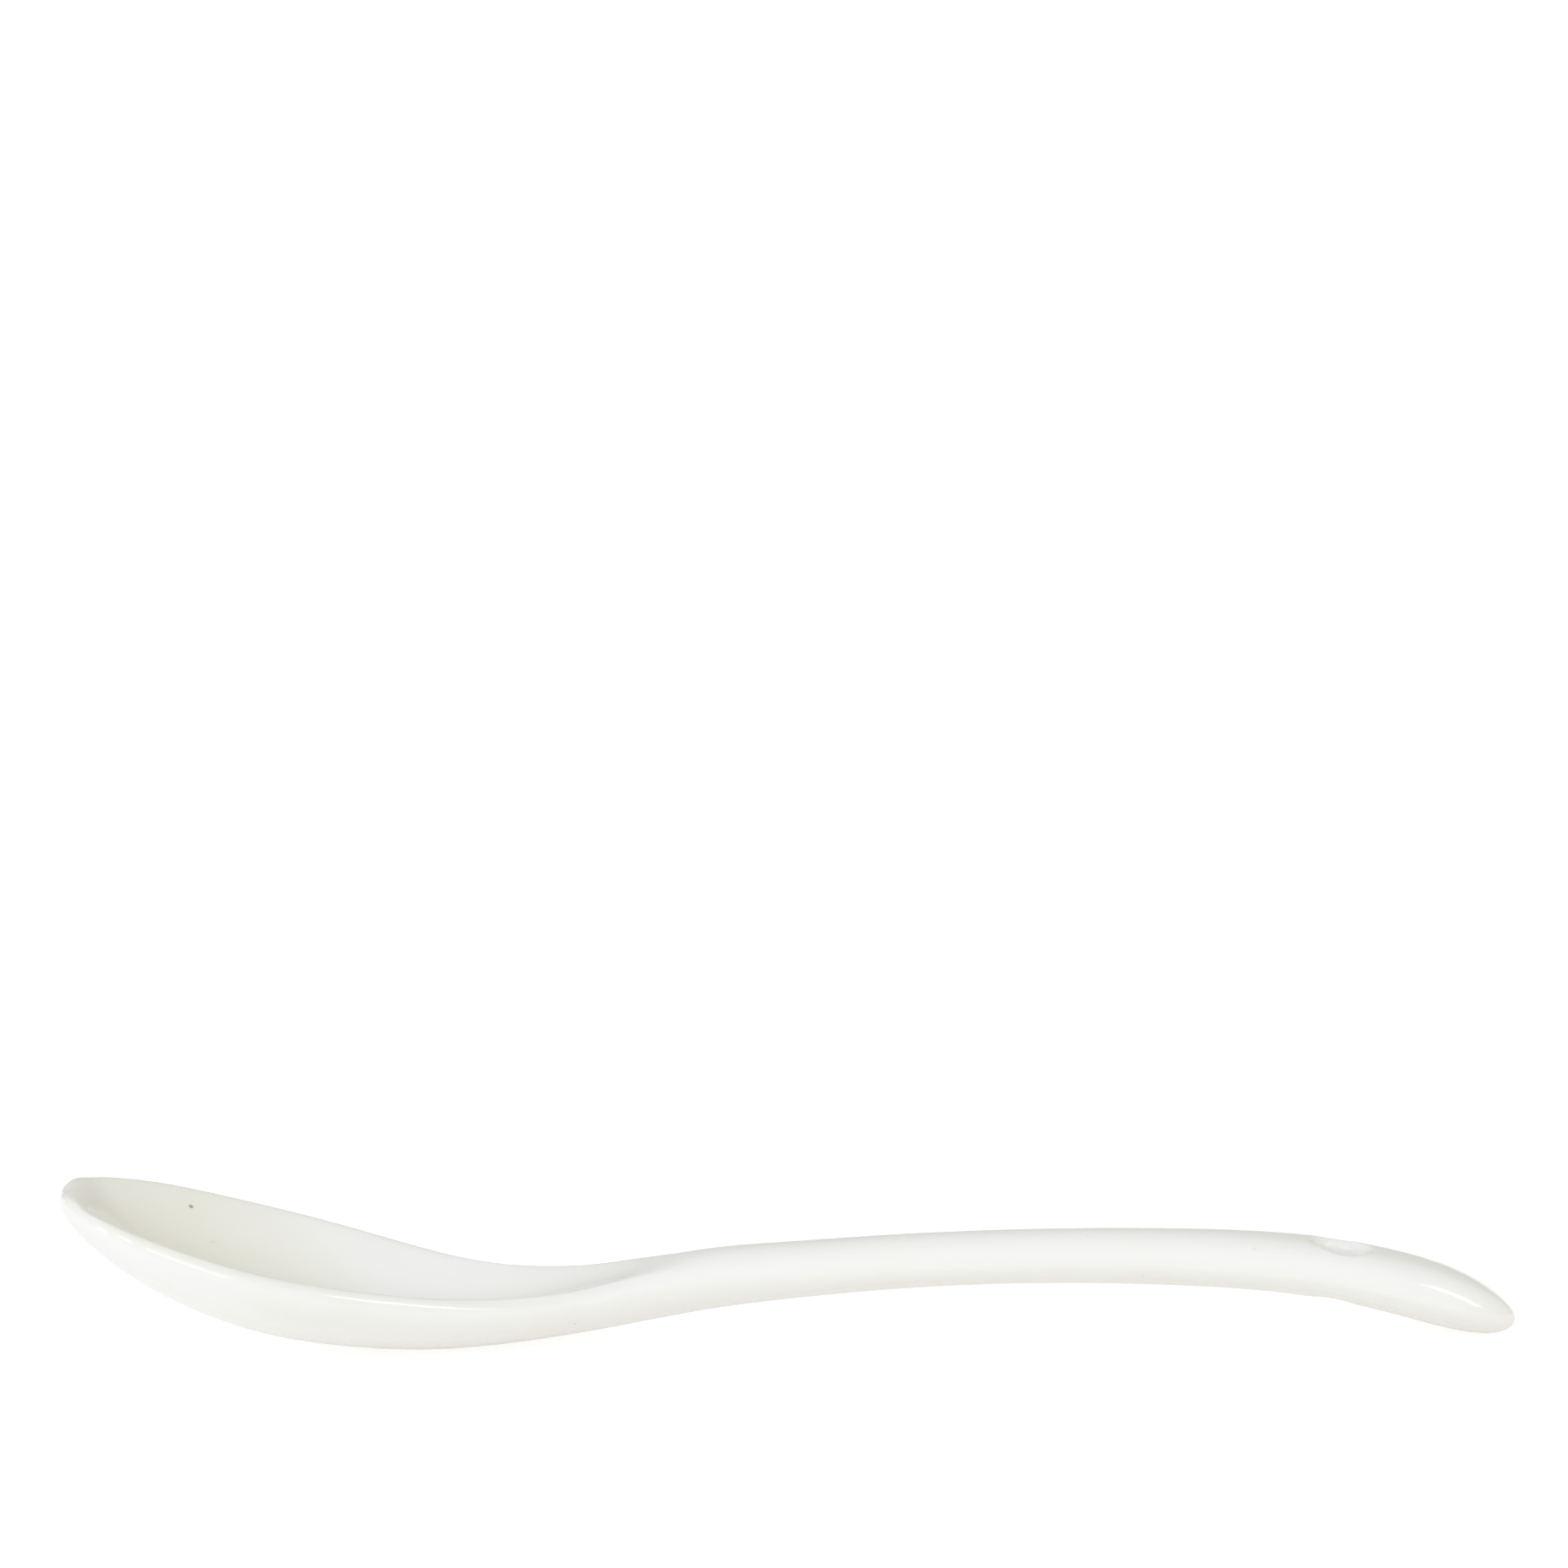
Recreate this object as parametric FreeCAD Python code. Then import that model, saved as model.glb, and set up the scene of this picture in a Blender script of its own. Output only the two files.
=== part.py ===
"""Coffee spoon in white glazed porcelain, cast in one piece.

The spoon is 135 mm long. An oval bowl with a raised tip runs through a short channel in the neck
into a solid handle of oval section. The handle rises to a low crest, bends down to a rounded end and
has a hanging hole near that end. The spoon rests on the belly of the bowl and on the handle's end.

Units are millimetres. X runs from the bowl's tip to the handle's end, Y is across and Z is up.
Distances along the spoon are measured from the bowl's tip, or back from the handle's end.
"""
import FreeCAD, Part
import math
import os

Vector = FreeCAD.Vector

# Overall sizes
OVERALL_LENGTH = 135.0
BOWL_WIDTH = 30.8
BOWL_WIDEST_AT = 20.0
NOSE_FULLNESS = 2.28
HANDLE_END_ROUND = 9.0

# Wall of the bowl and its lip
FLOOR_THICKNESS = 3.1
LIP_THICKNESS = 2.4
LIP_HEIGHT = 1.2
LIP_ROUND = 1.2
LIP_BLEND = 1.6
HOLLOW_FULLNESS = 2.5
TIP_LIP = 2.2
TIP_OPENING = 4.0

# Channel that runs from the bowl into the neck, and the solid handle behind it. The top's shoulder
# is given as a share of the half width, and gets sharper over a stretch measured back from the end.
CHANNEL_START = 34.0
CHANNEL_END = 57.0
CHANNEL_SIDE_RISE = 0.6
SOLID_FROM = 74.0
SOLID_SHOULDER = 0.87
END_SHOULDER = 0.62
SHOULDER_CHANGE = (35.0, 12.0)

# Hanging hole
HOLE_DIAMETER = 4.8
HOLE_FROM_END = 16.8
HOLE_MOUTH_ROUND = 0.9

# Half width behind the widest place of the bowl, as distance from the tip and half width
BOWL_HALF_WIDTHS = ((27.0, 13.85), (34.0, 11.1), (41.0, 8.5), (48.0, 6.35), (55.0, 4.6), (64.0, 4.0))
# The same on the handle, as distance back from its end and half width
HANDLE_HALF_WIDTHS = ((45.0, 3.85), (35.0, 4.1), (23.0, 4.8), (15.0, 5.4), (9.0, 5.5), (0.0, 5.5))

# Height of the side edge, the widest line of the section, as seen from the side
BOWL_EDGE_HEIGHTS = ((0.0, 14.05), (8.0, 11.8), (18.0, 8.95), (28.0, 6.65), (38.0, 4.85), (48.0, 5.0),
                     (57.0, 6.2), (65.0, 6.75))
HANDLE_EDGE_HEIGHTS = ((45.0, 7.65), (30.0, 7.35), (18.0, 6.15), (8.0, 3.85), (0.0, 1.35))

# Depth of the underside below the side edge
BOWL_DEPTHS = ((0.0, 1.2), (6.0, 4.55), (14.0, 6.4), (24.0, 6.55), (34.0, 5.4), (44.0, 4.05),
               (54.0, 3.75), (64.0, 3.1))
HANDLE_DEPTHS = ((45.0, 2.45), (33.0, 2.55), (20.0, 2.6), (10.0, 2.8), (0.0, 3.25))

# Height of the top above the side edge: the bowl's lip, the neck and the handle's crown
BOWL_CROWNS = ((0.0, LIP_HEIGHT), (20.0, LIP_HEIGHT), (36.0, LIP_HEIGHT), (48.0, 1.45), (62.0, 2.05))
HANDLE_CROWNS = ((43.0, 2.4), (23.0, 2.6), (10.0, 2.75), (0.0, 2.75))

# How closely the surface follows the sections: cross sections along the spoon, points round half of
# each, steps used to trace it, and how strongly the points gather where the outline turns
STATION_COUNT = 24
HALF_COUNT = 12
TRACE_STEPS = 400
TURN_WEIGHT = 6.0
# Where the surface is parted into faces, as shares of its length and of its girth
FACE_ENDS = (0.0, 0.2, 0.4, 0.5, 0.6, 0.7, 0.9, 1.0)
FACE_SIDES = (0.0, 0.5, 1.0)


def guide(points):
    """Smooth curve through (distance, value) pairs, as a function of the distance."""
    curve = Part.BSplineCurve()
    curve.interpolate(Points=[Vector(at, 0, value) for at, value in points],
                      Parameters=[at for at, value in points])
    return lambda at: curve.value(at).z


def from_tip(bowl_points, handle_points):
    """One guide along the whole spoon from the bowl's list and the handle's list."""
    behind = [(OVERALL_LENGTH - back, value) for back, value in handle_points]
    return guide(list(bowl_points) + behind)


edge_height = from_tip(BOWL_EDGE_HEIGHTS, HANDLE_EDGE_HEIGHTS)
depth = from_tip(BOWL_DEPTHS, HANDLE_DEPTHS)
crown = from_tip(BOWL_CROWNS, HANDLE_CROWNS)
width_behind = from_tip(((BOWL_WIDEST_AT, BOWL_WIDTH / 2),) + BOWL_HALF_WIDTHS, HANDLE_HALF_WIDTHS)


def rounding(distance, length, fullness=2.0):
    """Grows from 0 at an end to 1 at the given length, like the round end of an oval."""
    left = 1 - min(distance / length, 1)
    return math.sqrt(1 - left ** fullness)


def ramp(at, start, end):
    """Smooth step from 0 to 1 between two distances."""
    t = min(max((at - start) / (end - start), 0), 1)
    return t * t * (3 - 2 * t)


def soft_lower(a, b, blend):
    """The lower of two heights, rounded where they cross."""
    overlap = max(blend - abs(a - b), 0) / blend
    return min(a, b) - overlap ** 2 * blend / 4


def half_width(at):
    if at < BOWL_WIDEST_AT:
        return BOWL_WIDTH / 2 * rounding(at, BOWL_WIDEST_AT, NOSE_FULLNESS)
    return width_behind(at) * rounding(OVERALL_LENGTH - at, HANDLE_END_ROUND)


def section_shape(at):
    """Half width of the section, and its underside and top as functions of the distance from the middle."""
    ends = rounding(at, LIP_ROUND) * rounding(OVERALL_LENGTH - at, HANDLE_END_ROUND)
    edge = edge_height(at)
    wide = half_width(at)
    low = depth(at) * ends
    rise = crown(at) * ends
    sharper = ramp(at, OVERALL_LENGTH - SHOULDER_CHANGE[0], OVERALL_LENGTH - SHOULDER_CHANGE[1])
    solid_shoulder = wide * (SOLID_SHOULDER + (END_SHOULDER - SOLID_SHOULDER) * sharper)
    shoulder = LIP_ROUND + (solid_shoulder - LIP_ROUND) * ramp(at, CHANNEL_START, CHANNEL_END)
    squareness = 2 * wide / min(shoulder, solid_shoulder)

    # The hollow opens behind the tip's lip and comes up through the top within the channel
    deck = edge + rise
    brim = deck + LIP_BLEND / 2
    along = max((at - CHANNEL_START) / (CHANNEL_END - CHANNEL_START), 0)
    opening = rounding(max(at - TIP_LIP, 0), TIP_OPENING) * (1 - along ** 2)
    hollow_floor = brim - (brim - (edge - low + FLOOR_THICKNESS)) * opening
    hollow_width = max(wide - LIP_THICKNESS, 1)
    steepness = max(deck - hollow_floor, CHANNEL_SIDE_RISE) / hollow_width ** HOLLOW_FULLNESS

    def underside(y):
        return edge - low * math.sqrt(max(1 - (y / wide) ** 2, 0))

    def topside(y):
        top = edge + rise * math.sqrt(max(1 - (y / wide) ** squareness, 0))
        if at > SOLID_FROM:
            return top
        return soft_lower(top, hollow_floor + steepness * y ** HOLLOW_FULLNESS, LIP_BLEND)

    return wide, underside, topside


def section_points(at):
    """Points (y, z) round half of the section, from the middle of the underside to the middle of the top.

    They are evenly spaced in a measure that adds the turning of the outline to its length.
    """
    wide, underside, topside = section_shape(at)
    across = [wide * math.sin(math.pi / 2 * i / TRACE_STEPS) for i in range(TRACE_STEPS)]
    trace = [(y, underside(y)) for y in across]
    trace += [(wide, edge_height(at))]
    trace += [(y, topside(y)) for y in reversed(across)]

    weight = TURN_WEIGHT * min(wide / 4, 1)
    measure = [0.0]
    last = 0.0
    for (y0, z0), (y1, z1) in zip(trace, trace[1:]):
        heading = math.atan2(z1 - z0, y1 - y0)
        turn = abs((heading - last + math.pi) % (2 * math.pi) - math.pi)
        measure.append(measure[-1] + math.hypot(y1 - y0, z1 - z0) + weight * turn)
        last = heading

    points = []
    k = 0
    for i in range(HALF_COUNT + 1):
        wanted = measure[-1] * i / HALF_COUNT
        while k < len(measure) - 2 and measure[k + 1] < wanted:
            k += 1
        share = (wanted - measure[k]) / (measure[k + 1] - measure[k])
        y = trace[k][0] + share * (trace[k + 1][0] - trace[k][0])
        z = trace[k][1] + share * (trace[k + 1][1] - trace[k][1])
        points.append((y, z))
    return points


def section(at):
    """Closed curve round the spoon at one distance from the tip, starting at its side."""
    half = section_points(at)
    x = at - OVERALL_LENGTH / 2
    right = [Vector(x, y, z) for y, z in half]
    left = [Vector(x, -y, z) for y, z in half[1:-1]]
    ring = right + left[::-1]
    side = HALF_COUNT // 2
    ring = ring[side:] + ring[:side]
    curve = Part.BSplineCurve()
    curve.interpolate(Points=ring, PeriodicFlag=True,
                      Parameters=[i / len(ring) for i in range(len(ring) + 1)])
    return curve


def skin(curves, parameters):
    """Surface through closed curves, smooth along the spoon and closed at both ends in a point."""
    ring = curves[0]
    tip = Vector(-OVERALL_LENGTH / 2, 0, edge_height(0))
    end = Vector(OVERALL_LENGTH / 2, 0, edge_height(OVERALL_LENGTH))
    rows = [curve.getPoles() for curve in curves]
    rows = [[tip] * len(rows[0])] + rows + [[end] * len(rows[0])]
    lines = []
    for column in zip(*rows):
        line = Part.BSplineCurve()
        line.interpolate(Points=list(column), Parameters=parameters)
        lines.append(line)
    poles = [list(row) for row in zip(*(line.getPoles() for line in lines))]
    surface = Part.BSplineSurface()
    surface.buildFromPolesMultsKnots(poles, lines[0].getMultiplicities(), ring.getMultiplicities(),
                                     lines[0].getKnots(), ring.getKnots(), False, True, 3, ring.Degree)
    return surface


def spoon_body():
    """The solid spoon, still without its hole. The stations gather towards both ends."""
    parameters = [i / STATION_COUNT for i in range(STATION_COUNT + 1)]
    stations = [OVERALL_LENGTH * (1 - math.cos(math.pi * t)) / 2 for t in parameters[1:-1]]
    surface = skin([section(at) for at in stations], parameters)
    faces = []
    for front, back in zip(FACE_ENDS, FACE_ENDS[1:]):
        for right, left in zip(FACE_SIDES, FACE_SIDES[1:]):
            patch = surface.copy()
            patch.segment(front, back, right, left)
            faces.append(Part.Face(patch))
    shell = Part.Shell(faces)
    shell.sewShape()
    return Part.Solid(shell)


def drill(solid):
    """Bore the hanging hole square to the handle and round both of its mouths."""
    at = OVERALL_LENGTH - HOLE_FROM_END
    slope = edge_height(at + 0.5) - edge_height(at - 0.5)
    axis = Vector(-slope, 0, 1).normalize()
    middle = Vector(at - OVERALL_LENGTH / 2, 0, edge_height(at))
    thickness = depth(at) + crown(at)
    bore = Part.makeCylinder(HOLE_DIAMETER / 2, 2 * thickness, middle - axis * thickness, axis)
    drilled = solid.cut(bore)
    wall = [face for face in drilled.Faces if isinstance(face.Surface, Part.Cylinder)][0]
    rims = [edge for edge in wall.Edges if not isinstance(edge.Curve, Part.Line)]
    return drilled.makeFillet(HOLE_MOUTH_ROUND, rims).Solids[0]


spoon = drill(spoon_body())
spoon.translate(Vector(0, 0, -spoon.optimalBoundingBox(False, False).ZMin))

os.makedirs("parts", exist_ok=True)
spoon.exportStep("parts/spoon.step")
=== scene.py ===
"""Glazed porcelain coffee spoon on a white table, seen almost from the side."""
import math

import bpy
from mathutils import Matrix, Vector

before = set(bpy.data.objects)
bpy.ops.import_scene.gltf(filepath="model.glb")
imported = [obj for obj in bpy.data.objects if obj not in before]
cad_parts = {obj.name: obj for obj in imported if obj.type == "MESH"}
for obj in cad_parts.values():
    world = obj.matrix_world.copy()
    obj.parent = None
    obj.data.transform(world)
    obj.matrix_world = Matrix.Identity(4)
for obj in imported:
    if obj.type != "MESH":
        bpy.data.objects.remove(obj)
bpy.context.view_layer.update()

MM = 0.001

# Camera, as seen from the middle of the spoon's foot
VIEW_AZIMUTH = -2.68
VIEW_ELEVATION = 13.8
VIEW_DISTANCE = 700 * MM
VIEW_TURN_UP = 4.22
VIEW_TURN_LEFT = 0.059
SENSOR_WIDTH = 36.0
LENS = 172.6
NEAREST_SEEN = 0.05
FARTHEST_SEEN = 20

# Light: a tent, brighter and cooler at the photographer's left, on a table that glows a little
TENT_BRIGHT_SIDE = (-50, 5)
TENT_BRIGHT = (0.95, 0.98, 1.0)
TENT_DIM = (0.63, 0.61, 0.545)
TENT_STRENGTH = 0.87

# Cosines of the angle from the tent's bright side at which it is dim, and at which it is fully bright
TENT_CHANGE = (-0.9, 0.9)

# Lamps: name, azimuth and elevation in degrees, distance, width and height in metres, and watts.
# The right window makes the line along the near lip and the streak on the handle end, and the two
# panes make the spots on the lip near the tip.
LAMPS = (("key_box", -28, 36, 1.4, (0.9, 0.6), 2.8),
         ("right_window", 67, 36, 1.0, (0.22, 0.70), 1.7),
         ("left_pane_low", -85, 11, 1.0, (0.13, 0.24), 0.38),
         ("left_pane_high", -66, 29, 1.0, (0.13, 0.24), 0.38))

TABLE_SIZE = 12

# The table as it lights the spoon, cooler at the left, with a warm glow that shows where the spoon
# shades it, then as it is seen, and how far the glaze mirrors it as it is seen
TABLE_LEFT = (0.75, 0.77, 0.80)
TABLE_RIGHT = (0.68, 0.68, 0.67)
TABLE_CHANGE = (-70 * MM, 0)
TABLE_GLOW = (0.29, 0.271, 0.232)
TABLE_COLOUR_SEEN = (0.38, 0.38, 0.38)
TABLE_GLOW_SEEN = (0.80, 0.80, 0.80)
MIRRORED_SHARE = 0.4

# Colours of the glaze, linear
PORCELAIN = (0.900, 0.898, 0.892)
# The pooled glaze colour is partly painted warm shade of the bowl's hollow
POOLED_GLAZE_AND_SHADE = (0.860, 0.847, 0.764)
CLOUDED_GLAZE = (0.885, 0.872, 0.838)
IRON_SPECK = (0.38, 0.33, 0.24)

# The glaze's mirror, and its roughness from the smoothest to the roughest cloud
GLAZE_IOR = 1.52
SMOOTHEST = 0.07
ROUGHEST = 0.15

# Fineness of the patterns, as noise scales per metre, how strongly they show, and the pattern values
# between which clouds and dust grains fade in
CLOUD_SCALE = 95.0
CLOUD_SHARE = 0.5
CLOUD_EDGE = (0.42, 0.72)
DUST_SCALE = 400.0
DUST_EDGE = (0.06, 0.03)
DUST_FREE_SHARE = 0.86
DUST_SHARE = 0.25
PEEL_SCALE = 520.0
PEEL_SHARE = 0.12
WAVE_SCALE = 70.0
RELIEF_STRENGTH = 0.16
RELIEF_HEIGHT = 0.15 * MM

# Where the glaze pools in the bowl, with painted warm shade in its left hollow: middle and half sizes of
# an oval, seen from above
POOL_AND_SHADE_MIDDLE = (-54 * MM, 0)
POOL_AND_SHADE_HALF = (13 * MM, 14 * MM)

# Where the pool and its painted shade start and are full: squared distance out from its middle, and upward
# part of the normal
POOL_AND_SHADE_FADE = (1.8, 0.0)
POOL_AND_SHADE_SLOPE = (0.0, 0.55)

# Flaws of the glaze seen in the photo: a pinhole on the handle, and specks as place, radius and
# strength, two of them in the bowl, and a darker spot in the pinhole. The core is the share of the
# radius at full strength.
PINHOLE = (42.7 * MM, -3.4 * MM, 8.9 * MM)
PINHOLE_RADIUS = 0.35 * MM
SPECKS = (((-55.8 * MM, 10.5 * MM, 10.8 * MM), 0.34 * MM, 0.95),
          ((-53.7 * MM, 7.4 * MM, 8.1 * MM), 0.32 * MM, 0.14),
          (PINHOLE, 0.34 * MM, 0.12))
SPECK_CORE = 0.3


def direction(azimuth, elevation):
    """Unit vector from the spoon towards a place at that azimuth and elevation, in degrees."""
    a = math.radians(azimuth)
    e = math.radians(elevation)
    return Vector((math.sin(a) * math.cos(e), -math.cos(a) * math.cos(e), math.sin(e)))


def make_camera():
    data = bpy.data.cameras.new("camera")
    data.sensor_width = SENSOR_WIDTH
    data.lens = LENS
    data.clip_start = NEAREST_SEEN
    data.clip_end = FARTHEST_SEEN
    camera = bpy.data.objects.new("camera", data)
    bpy.context.scene.collection.objects.link(camera)
    camera.location = direction(VIEW_AZIMUTH, VIEW_ELEVATION) * VIEW_DISTANCE
    ahead = -direction(VIEW_AZIMUTH + VIEW_TURN_LEFT, VIEW_ELEVATION - VIEW_TURN_UP)
    camera.rotation_mode = "QUATERNION"
    camera.rotation_quaternion = ahead.to_track_quat("-Z", "Y")
    bpy.context.scene.camera = camera


def make_area(name, azimuth, elevation, distance, size, power):
    data = bpy.data.lights.new(name, "AREA")
    data.shape = "RECTANGLE"
    data.size, data.size_y = size
    data.energy = power
    lamp = bpy.data.objects.new(name, data)
    bpy.context.scene.collection.objects.link(lamp)
    place = direction(azimuth, elevation)
    lamp.location = place * distance
    lamp.rotation_mode = "QUATERNION"
    lamp.rotation_quaternion = (-place).to_track_quat("-Z", "Y")


class Graph:
    """Adds nodes to a material or world, with inputs given as numbers, colours or other nodes' outputs."""

    def __init__(self, tree):
        self.tree = tree
        tree.nodes.clear()

    def node(self, kind, settings=None, **inputs):
        made = self.tree.nodes.new(kind)
        for name, value in (settings or {}).items():
            setattr(made, name, value)
        for name, value in inputs.items():
            self.feed(made.inputs[name.replace("_", " ")], value)
        return made

    def feed(self, socket, value):
        if isinstance(value, bpy.types.NodeSocket):
            self.tree.links.new(value, socket)
        else:
            socket.default_value = value

    def math(self, operation, a, b):
        made = self.node("ShaderNodeMath", {"operation": operation})
        self.feed(made.inputs[0], a)
        self.feed(made.inputs[1], b)
        return made.outputs[0]

    def between(self, value, low, high):
        """Smooth step of a value from 0 at low to 1 at high, which may lie below it."""
        made = self.node("ShaderNodeMapRange", {"interpolation_type": "SMOOTHSTEP"}, Value=value,
                         From_Min=low, From_Max=high)
        return made.outputs["Result"]

    def distance(self, a, b):
        made = self.node("ShaderNodeVectorMath", {"operation": "DISTANCE"})
        self.feed(made.inputs[0], a)
        self.feed(made.inputs[1], b)
        return made.outputs["Value"]

    def blend(self, share, a, b):
        made = self.node("ShaderNodeMix", {"data_type": "RGBA"})
        self.feed(made.inputs["Factor"], share)
        self.feed(made.inputs["A"], a)
        self.feed(made.inputs["B"], b)
        return made.outputs["Result"]


def rgba(colour):
    return (*colour, 1)


def make_porcelain():
    material = bpy.data.materials.new("glazed_porcelain")
    material.use_nodes = True
    g = Graph(material.node_tree)
    coordinates = g.node("ShaderNodeTexCoord")
    place = coordinates.outputs["Object"]
    axis = g.node("ShaderNodeSeparateXYZ", Vector=place)
    upward = g.node("ShaderNodeSeparateXYZ", Vector=coordinates.outputs["Normal"]).outputs["Z"]

    # Clouds in the glaze, a few millimetres to a centimetre wide
    clouds = g.node("ShaderNodeTexNoise", Vector=place, Scale=CLOUD_SCALE, Detail=4.0, Roughness=0.55)
    cloudy = g.between(clouds.outputs["Fac"], *CLOUD_EDGE)

    # Thick glaze in the hollow of the bowl, with warm shade painted there too
    along = g.math("DIVIDE", g.math("SUBTRACT", axis.outputs["X"], POOL_AND_SHADE_MIDDLE[0]), POOL_AND_SHADE_HALF[0])
    across = g.math("DIVIDE", g.math("SUBTRACT", axis.outputs["Y"], POOL_AND_SHADE_MIDDLE[1]), POOL_AND_SHADE_HALF[1])
    out_of_pool_and_shade = g.math("ADD", g.math("POWER", along, 2.0), g.math("POWER", across, 2.0))
    ragged = g.math("ADD", out_of_pool_and_shade, g.math("SUBTRACT", clouds.outputs["Fac"], 0.5))
    # Mask of the pooled glaze and of the painted warm shade in the bowl's left hollow
    pool_and_shade = g.math("MULTIPLY", g.between(ragged, *POOL_AND_SHADE_FADE), g.between(upward, *POOL_AND_SHADE_SLOPE))

    colour = g.blend(pool_and_shade, rgba(PORCELAIN), rgba(POOLED_GLAZE_AND_SHADE))
    colour = g.blend(g.math("MULTIPLY", cloudy, CLOUD_SHARE), colour, rgba(CLOUDED_GLAZE))

    # Fine dust burnt into the glaze, and the larger specks
    dust = g.node("ShaderNodeTexVoronoi", Vector=place, Scale=DUST_SCALE)
    chance = g.node("ShaderNodeSeparateColor", Color=dust.outputs["Color"]).outputs["Red"]
    rare = g.math("GREATER_THAN", chance, DUST_FREE_SHARE)
    dusty = g.math("MULTIPLY", rare, g.between(dust.outputs["Distance"], *DUST_EDGE))
    colour = g.blend(g.math("MULTIPLY", dusty, DUST_SHARE), colour, rgba(IRON_SPECK))
    for middle, radius, strength in SPECKS:
        spot = g.between(g.distance(place, middle), radius, radius * SPECK_CORE)
        colour = g.blend(g.math("MULTIPLY", spot, strength), colour, rgba(IRON_SPECK))

    # Orange peel of the fired glaze over slow waves of the cast body, and the pinhole
    peel = g.node("ShaderNodeTexNoise", Vector=place, Scale=PEEL_SCALE, Detail=2.0)
    waves = g.node("ShaderNodeTexNoise", Vector=place, Scale=WAVE_SCALE, Detail=1.0)
    relief = g.math("ADD", g.math("MULTIPLY", peel.outputs["Fac"], PEEL_SHARE), waves.outputs["Fac"])
    hole = g.between(g.distance(place, PINHOLE), PINHOLE_RADIUS, 0.0)
    relief = g.math("SUBTRACT", relief, hole)
    bump = g.node("ShaderNodeBump", Strength=RELIEF_STRENGTH, Distance=RELIEF_HEIGHT, Height=relief)
    gloss = g.node("ShaderNodeMapRange", Value=clouds.outputs["Fac"], To_Min=SMOOTHEST, To_Max=ROUGHEST)

    shader = g.node("ShaderNodeBsdfPrincipled", Base_Color=colour, Normal=bump.outputs["Normal"],
                    Roughness=gloss.outputs["Result"], IOR=GLAZE_IOR)
    g.node("ShaderNodeOutputMaterial", Surface=shader.outputs["BSDF"])
    return material


def make_floor():
    bpy.ops.mesh.primitive_plane_add(size=TABLE_SIZE, location=(0, 0, 0))
    floor = bpy.context.object
    floor.name = "floor"
    material = bpy.data.materials.new("white_table")
    material.use_nodes = True
    g = Graph(material.node_tree)
    path = g.node("ShaderNodeLightPath")
    mirrored = g.math("MULTIPLY", path.outputs["Is Glossy Ray"], MIRRORED_SHARE)
    seen = g.math("MAXIMUM", path.outputs["Is Camera Ray"], mirrored)
    place = g.node("ShaderNodeTexCoord").outputs["Object"]
    across = g.node("ShaderNodeSeparateXYZ", Vector=place).outputs["X"]
    lighting = g.blend(g.between(across, *TABLE_CHANGE), rgba(TABLE_LEFT), rgba(TABLE_RIGHT))
    cloth = g.node("ShaderNodeBsdfDiffuse", Color=g.blend(seen, lighting, rgba(TABLE_COLOUR_SEEN)))
    glow = g.node("ShaderNodeEmission", Color=g.blend(seen, rgba(TABLE_GLOW), rgba(TABLE_GLOW_SEEN)))
    both = g.node("ShaderNodeAddShader")
    g.feed(both.inputs[0], cloth.outputs["BSDF"])
    g.feed(both.inputs[1], glow.outputs["Emission"])
    g.node("ShaderNodeOutputMaterial", Surface=both.outputs["Shader"])
    floor.data.materials.append(material)


def make_world():
    world = bpy.data.worlds.new("studio")
    bpy.context.scene.world = world
    world.use_nodes = True
    g = Graph(world.node_tree)
    ray = g.node("ShaderNodeTexCoord").outputs["Generated"]
    side = g.node("ShaderNodeVectorMath", {"operation": "DOT_PRODUCT"})
    g.feed(side.inputs[0], ray)
    g.feed(side.inputs[1], tuple(direction(*TENT_BRIGHT_SIDE)))
    colour = g.blend(g.between(side.outputs["Value"], *TENT_CHANGE), rgba(TENT_DIM), rgba(TENT_BRIGHT))
    tent = g.node("ShaderNodeBackground", Color=colour, Strength=TENT_STRENGTH)
    white = g.node("ShaderNodeBackground", Color=(1, 1, 1, 1), Strength=1.0)
    path = g.node("ShaderNodeLightPath")
    mix = g.node("ShaderNodeMixShader", Fac=path.outputs["Is Camera Ray"])
    g.feed(mix.inputs[1], tent.outputs["Background"])
    g.feed(mix.inputs[2], white.outputs["Background"])
    g.node("ShaderNodeOutputWorld", Surface=mix.outputs["Shader"])


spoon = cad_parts["spoon"]
spoon.data.materials.clear()
spoon.data.materials.append(make_porcelain())
for polygon in spoon.data.polygons:
    polygon.use_smooth = True

# The glaze runs on across the edges between the solid's faces: points this close there are one point
SAME_POINT = 0.001 * MM
weld = spoon.modifiers.new("weld", "WELD")
weld.merge_threshold = SAME_POINT
shading = spoon.modifiers.new("shading", "WEIGHTED_NORMAL")
shading.mode = "CORNER_ANGLE"
shading.keep_sharp = False

make_floor()
make_world()
for lamp in LAMPS:
    make_area(*lamp)
make_camera()
bpy.context.scene.view_settings.view_transform = "Standard"
